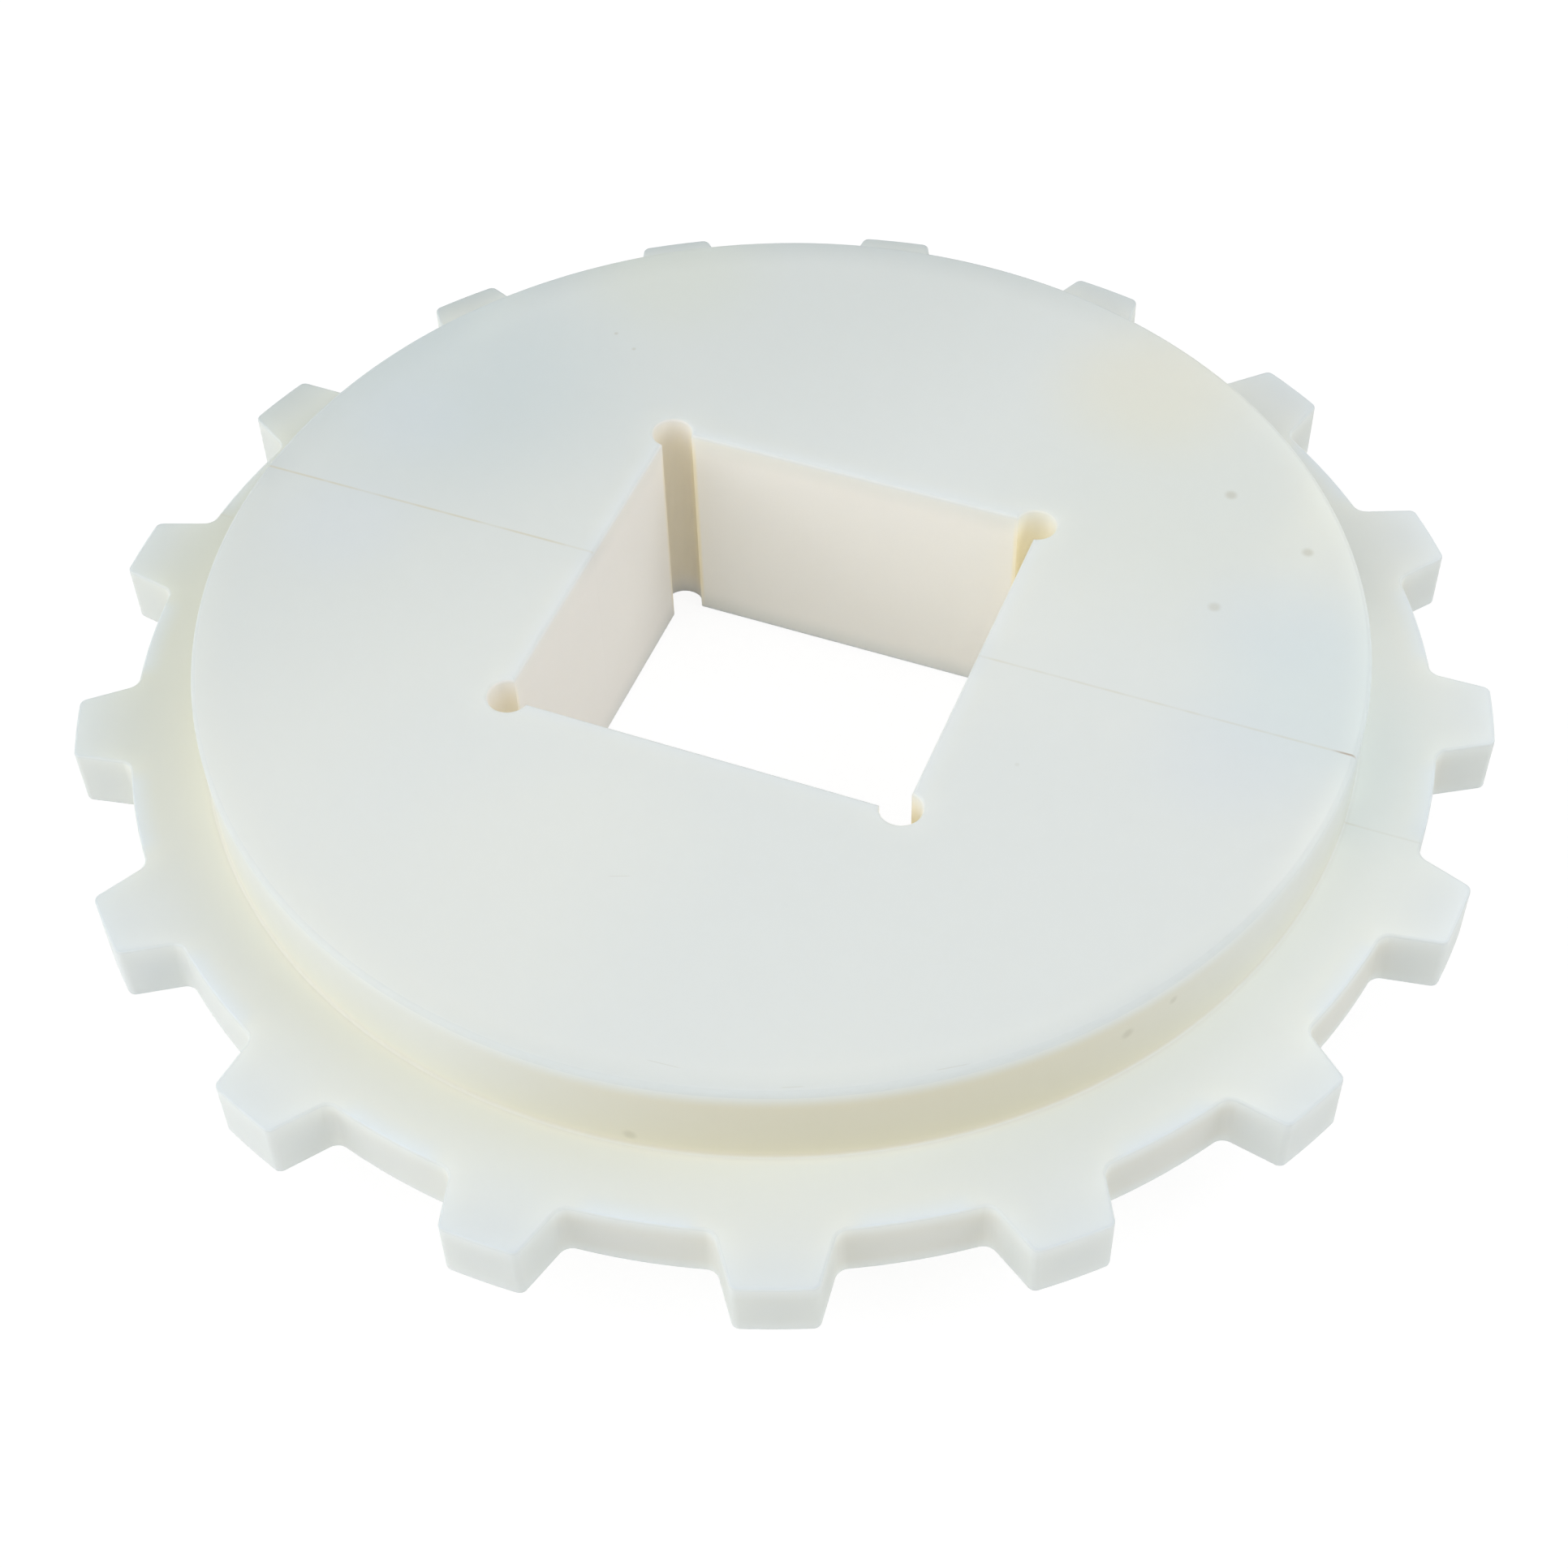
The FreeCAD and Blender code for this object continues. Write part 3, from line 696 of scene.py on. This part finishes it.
# Faint spots on the top face, the bluish, teal and cyan ones being painted shade over the fasteners:
# place, radius, colour, share
SPOTS_AND_SHADE = [
    ((-44.7, 65.5, 19), 13.0, OLIVE, 0.4),
    ((37.0, 64.5, 19), 13.0, WARM_SPOT, 0.45),
    ((-66.0, 30.0, 19), 22.0, TEAL_SHADE, 0.5),
    ((-69.0, 18.0, 19), 8.0, BLUISH, 0.2),
    ((50.0, 42.0, 19), 24.0, OLIVE, 0.25),
    ((67.4, 22.3, 19), 9.0, BLUISH, 0.25),
    ((80.0, 12.0, 19), 17.0, CYAN, 0.36),
    ((-68.0, -6.5, 19), 9.0, BLUISH, 0.25),
    ((68.5, -6.0, 19), 10.0, BLUISH, 0.25),
]
SPOT_SOFTNESS = 0.7

# Specks: place, radius, share
SPECKS = [
    ((54.9, 45.6, 19), 0.8, 0.37), ((68.7, 37.6, 19), 0.75, 0.37), ((58.9, 22.0, 19), 0.8, 0.3),
    ((41.8, -16.7, 19), 0.3, 0.12), ((-43.0, 45.5, 19), 0.3, 0.3), ((-47.2, 48.0, 19), 0.3, 0.3),
    ((12.4, -84.1, 7.1), 0.8, 0.3), ((68.3, -50.6, 13.2), 0.8, 0.3), ((72.5, -44.4, 14.6), 0.6, 0.25),
    ((91.5, -31.2, 5), 0.4, 0.3),
]
SPECK_SOFTNESS = 0.6

# Scratches on the top face: start, end, half width; they fade from a share of their length and width
SCRATCHES = [
    ((30.9, -78.0), (34.0, -76.6), 0.12), ((48.0, -68.8), (52.2, -66.0), 0.12),
    ((-3.0, -54.6), (0.0, -53.4), 0.1), ((13.5, -80.0), (18.5, -79.6), 0.1),
]
SCRATCH_SHARE = 0.18
SCRATCH_FADE = 0.3

# Surface of the nylon: grains and turning marks are per millimetre, heights are shares of the bump's
# distance, and that distance and the scattering of light are in metres
CLOUD_GRAIN = 0.02
SEAM_GRAIN = 0.25
FINE_GRAIN = 2.2
ROUGH_GRAIN = 0.35
ROUGHNESS = (0.52, 0.64)
TURNING_PER_MM = 14.0
TURNING_HEIGHT = 0.05
GRAIN_HEIGHT = 0.3
NYLON_BUMP = (0.12, 0.1 * MM)
NYLON_LIGHT = {
    "IOR": 1.53,
    "Specular IOR Level": 0.25,
    "Subsurface Radius": (1.0, 0.9, 0.7),
    "Subsurface Scale": 0.005,
}
SCATTERING = ("seam", 0.3, 6.0, 0.0, 0.5)


class Masks:
    """Eased ramps of named measures of a place; ramps that are alike share one node."""

    def __init__(self, nodes, measures):
        self.nodes = nodes
        self.measures = measures
        self.made = {}

    def ramp(self, name, *limits):
        key = (name, *limits)
        if key not in self.made:
            self.made[key] = self.nodes.ramp(self.measures[name], *limits)
        return self.made[key]

    def lay(self, colour, tint, share, limits):
        """The colour with a tint over it, in a share that each of the limits cuts down."""
        for limit in limits:
            share = self.nodes.math("MULTIPLY", self.ramp(*limit), share)
        return self.nodes.mix(share, colour, tint)


def spot(n, place, centre, size, softness):
    """1 inside a round spot, 0 outside it."""
    away = n.vector_math("DISTANCE", place, centre).outputs["Value"]
    return n.ramp(away, size * (1 - softness), size * (1 + softness), 1.0, 0.0)


def toward(n, x, y, direction):
    """Distance from the axis in a direction."""
    return n.math("ADD", n.math("MULTIPLY", x, direction[0]), n.math("MULTIPLY", y, direction[1]))


def scratch(n, x, y, start, end, width):
    """1 on a straight mark of the top face between two points."""
    (x0, y0), (x1, y1) = start, end
    length = math.hypot(x1 - x0, y1 - y0)
    cos, sin = (x1 - x0) / length, (y1 - y0) / length
    from_middle = n.math("SUBTRACT", toward(n, x, y, (cos, sin)), x0 * cos + y0 * sin + length / 2)
    from_line = n.math("SUBTRACT", toward(n, x, y, (-sin, cos)), y0 * cos - x0 * sin)
    along = n.ramp(n.math("ABSOLUTE", from_middle), length * SCRATCH_FADE, length / 2, 1.0, 0.0)
    across = n.ramp(n.math("ABSOLUTE", from_line), width * SCRATCH_FADE, width, 1.0, 0.0)
    return n.math("MULTIPLY", along, across)


def nylon_measures(n, place):
    """Where a place lies on the sprocket, in millimetres, and which way its face looks."""
    x, y, z = n.add("ShaderNodeSeparateXYZ", Vector=place).outputs
    side, depth, height = (n.math("ABSOLUTE", v) for v in (x, y, z))
    radius = n.distance(x, y, (0, 0))
    normal = n.add("ShaderNodeNewGeometry").outputs["True Normal"]
    from_wall = n.math("ABSOLUTE", n.math("SUBTRACT", radius, HUB_RADIUS))
    from_rim = n.math("MAXIMUM", n.math("SUBTRACT", height, HALF_RIM), 0.0)
    turn = n.math("ARCTAN2", x, n.math("MULTIPLY", y, -1.0))
    measures = {
        "x": x,
        "y": y,
        "radius": radius,
        "height": height,
        "level": n.math("ABSOLUTE", n.add("ShaderNodeSeparateXYZ", Vector=normal).outputs[2]),
        "square": n.math("MAXIMUM", side, depth),
        "across": toward(n, x, y, BACK_LEFT),
        "from_wall": from_wall,
        "corner": n.distance(from_wall, from_rim, (0, 0)),
        "relief": n.distance(side, depth, (RELIEF_PLACE, RELIEF_PLACE)),
        "screw": n.distance(side, height, (SCREW_X, SCREW_Z)),
        "seam": n.math("ABSOLUTE", n.math("SUBTRACT", y, SEAM)),
        "tooth": n.math("COSINE", n.math("MULTIPLY", turn, TEETH)),
        "cloud": n.noise(place, CLOUD_GRAIN, 1.0),
        "broken": n.noise(place, SEAM_GRAIN, 1.0),
    }
    for name, direction in DIRECTIONS.items():
        measures[name] = n.math("DIVIDE", toward(n, x, y, direction), radius)
    return measures


def nylon_colour(n, masks, place):
    """Body colour, painted light and shade, then the spots, the marks and the seam's dirt over it."""
    colour = masks.lay(BODY_WARM, BODY_COOL, 1, [CLOUDS])
    # Painted shade, darker towards the back left
    back_shade = n.mix(masks.ramp(*AT_FACE), BACK_SHADE_WARM, BACK_SHADE_COOL)
    colour = masks.lay(colour, back_shade, BACK_SHADE_SHARE, [BACK_SHADE_RAMP])
    # Painted light and shade, tint by tint
    for tint, share, limits in TINTS:
        colour = masks.lay(colour, tint, share, limits)
    # Spots, the bluish ones being painted shade over the fasteners
    for centre, size, tint, share in SPOTS_AND_SHADE:
        colour = n.mix(n.math("MULTIPLY", spot(n, place, centre, size, SPOT_SOFTNESS), share), colour, tint)
    for centre, size, share in SPECKS:
        colour = n.mix(n.math("MULTIPLY", spot(n, place, centre, size, SPECK_SOFTNESS), share), colour, SPECK)
    marks = 0.0
    for start, end, width in SCRATCHES:
        mark = scratch(n, masks.measures["x"], masks.measures["y"], start, end, width)
        marks = n.math("MAXIMUM", mark, marks)
    colour = masks.lay(colour, SPECK, n.math("MULTIPLY", marks, SCRATCH_SHARE), [AT_FACE])
    for tint, share, limits in SEAM_TINTS:
        colour = masks.lay(colour, tint, share, limits)
    return colour


def nylon():
    n = new_material("natural_nylon")
    place = n.place_mm()
    masks = Masks(n, nylon_measures(n, place))
    waves = n.math("SINE", n.math("MULTIPLY", masks.measures["radius"], TURNING_PER_MM))
    turning = n.math("MULTIPLY", waves, TURNING_HEIGHT)
    grain = n.math("MULTIPLY", n.noise(place, FINE_GRAIN, 1.0), GRAIN_HEIGHT)
    roughness = n.ramp(n.noise(place, ROUGH_GRAIN, 1.0), *NOISE_RANGE, *ROUGHNESS)
    colour = nylon_colour(n, masks, place)
    shader = n.principled(colour, roughness, n.math("ADD", turning, grain), *NYLON_BUMP)
    shader.subsurface_method = "BURLEY"
    for key, given in NYLON_LIGHT.items():
        shader.inputs[key].default_value = given
    n.set(shader, "Subsurface Weight", masks.ramp(*SCATTERING))
    return n.finish(shader)


# Bare metals: lighter and darker colour, roughness, grain and how the grain is stretched
METALS = {
    "stainless_steel": ((0.66, 0.67, 0.68), (0.5, 0.51, 0.53), 0.28, 3.0, (0.15, 6.0, 0.15)),
    "ground_steel": ((0.6, 0.61, 0.63), (0.45, 0.46, 0.48), 0.2, 4.0, (0.1, 8.0, 0.1)),
    "turned_brass": ((0.82, 0.66, 0.34), (0.66, 0.5, 0.22), 0.3, 3.0, (0.15, 6.0, 0.15)),
}
METAL_CLOUD_GRAIN = 0.25
METAL_DETAIL = 3.0
METAL_ROUGHNESS_SPREAD = (-0.06, 0.08)
METAL_BUMP = (0.2, 0.05 * MM)


def metal(name):
    """Bare metal with fine lines across its axis, which lies along Y."""
    light, dark, roughness, grain, stretch = METALS[name]
    n = new_material(name)
    place = n.place_mm()
    lines = n.noise(n.vector_math("MULTIPLY", place, stretch).outputs[0], grain, METAL_DETAIL)
    cloud = n.noise(place, METAL_CLOUD_GRAIN, METAL_DETAIL)
    both = n.math("MULTIPLY", n.math("ADD", lines, cloud), 0.5)
    colour = n.mix(n.ramp(both, *NOISE_RANGE), dark, light)
    rough = n.ramp(lines, *NOISE_RANGE, *(roughness + change for change in METAL_ROUGHNESS_SPREAD))
    shader = n.principled(colour, rough, lines, *METAL_BUMP)
    shader.inputs["Metallic"].default_value = 1.0
    return n.finish(shader)


def dress(piece, material, slot_name, *nodes):
    piece.data.materials.clear()
    piece.data.materials.append(material)
    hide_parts(*nodes)
    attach(piece, "root")


def build_sprocket():
    white = nylon()
    steel, ground, brass = (metal(name) for name in METALS)
    front, back = make_halves()
    dress(front, white, "nylon", "front_half")
    dress(back, white, "nylon", "back_half")
    for place, x, z in screw_places():
        dress(make_screw(f"socket_screw_{place}", x, z), steel, "stainless", f"cap_screw_{place}")
        dress(make_washer(f"flat_washer_{place}", x, z), ground, "stainless", f"washer_{place}")
        dress(make_insert(f"brass_insert_{place}", x, z), brass, "brass", f"threaded_insert_{place}")
    for side, x in (("left", -DOWEL_X), ("right", DOWEL_X)):
        dress(make_dowel(f"ground_dowel_{side}", x), ground, "stainless", f"dowel_pin_{side}")


# Floor, lights and camera

# Floor in millimetres, just under the part; its glow shows to the camera and in reflections only
FLOOR_RADIUS = 3000
FLOOR_TOP = -19.02
FLOOR_BOTTOM = -29.5
FLOOR_GRAIN = 0.01
FLOOR_DARK, FLOOR_LIGHT = (0.86, 0.86, 0.86), (0.88, 0.88, 0.88)
FLOOR_GLOW = 1.1
GLOW_SHARE = 0.8
WHITE = (1, 1, 1, 1)
WORLD_LIGHT = 0.66
BACKGROUND_LIGHT = 1.0

# Disk lamps that point at the middle of the part: place in metres and power in watts
LAMP_SIZE = 1.0
LAMPS = {
    "left": ((-1.35, -0.7, 0.55), 5.2),
    "right": ((1.15, 0.2, 0.95), 5.2),
    "front": ((-0.55, -0.85, 0.8), 2.9),
}

# Camera as fitted to the photograph: focal length and sensor, place and aim in millimetres
FOCAL_LENGTH = 61.86
SENSOR_WIDTH = 36.0
CAMERA_PLACE = (107.17, -253.11, 298.35)
CAMERA_AIM = (6.69, -16.14, 0)
ROLL = math.radians(-1.84)


def seen_directly(n):
    """1 for rays from the camera, from gloss and through glass, 0 for the light that falls on things."""
    path = n.add("ShaderNodeLightPath")
    total = n.math("ADD", path.outputs["Is Camera Ray"], path.outputs["Is Glossy Ray"])
    return n.math("ADD", total, path.outputs["Is Transmission Ray"], clamp=True)


def make_floor():
    floor = stacked("floor", circle(FLOOR_RADIUS, ROUND_STEPS), [(0, FLOOR_BOTTOM), (0, FLOOR_TOP)])
    n = new_material("pale_floor")
    grain = n.ramp(n.noise(n.place_mm(), FLOOR_GRAIN, 2.0), *NOISE_RANGE)
    matte = n.add("ShaderNodeBsdfDiffuse", Color=n.mix(grain, FLOOR_DARK, FLOOR_LIGHT))
    glow = n.add("ShaderNodeEmission", Color=WHITE, Strength=FLOOR_GLOW)
    both = n.add("ShaderNodeMixShader")
    share = n.math("MULTIPLY", seen_directly(n), GLOW_SHARE)
    for key, given in enumerate((share, matte.outputs[0], glow.outputs[0])):
        n.set(both, key, given)
    floor.data.materials.append(n.finish(both))


def make_world():
    world = bpy.data.worlds.new("studio")
    bpy.context.scene.world = world
    n = Nodes(world)
    strength = n.ramp(seen_directly(n), 0.0, 1.0, WORLD_LIGHT, BACKGROUND_LIGHT)
    n.finish(n.add("ShaderNodeBackground", Color=WHITE, Strength=strength), "ShaderNodeOutputWorld")


def make_lamp(name, place, power):
    lamp = bpy.data.lights.new(name, "AREA")
    lamp.shape = "DISK"
    lamp.energy = power
    lamp.size = LAMP_SIZE
    piece = link(bpy.data.objects.new(name, lamp))
    piece.location = place
    piece.rotation_mode = "QUATERNION"
    piece.rotation_quaternion = (-Vector(place)).to_track_quat("-Z", "Y")


def make_camera():
    lens = bpy.data.cameras.new("camera")
    lens.lens = FOCAL_LENGTH
    lens.sensor_width = SENSOR_WIDTH
    camera = link(bpy.data.objects.new("camera", lens))
    camera.location = Vector(CAMERA_PLACE) * MM
    level = (Vector(CAMERA_AIM) * MM - camera.location).to_track_quat("-Z", "Y")
    camera.rotation_mode = "QUATERNION"
    camera.rotation_quaternion = level @ Matrix.Rotation(ROLL, 3, "Z").to_quaternion()
    bpy.context.scene.camera = camera


build_sprocket()
make_floor()
make_world()
for lamp_name, (lamp_place, lamp_power) in LAMPS.items():
    make_lamp(lamp_name, lamp_place, lamp_power)
make_camera()
bpy.context.scene.view_settings.view_transform = "Standard"
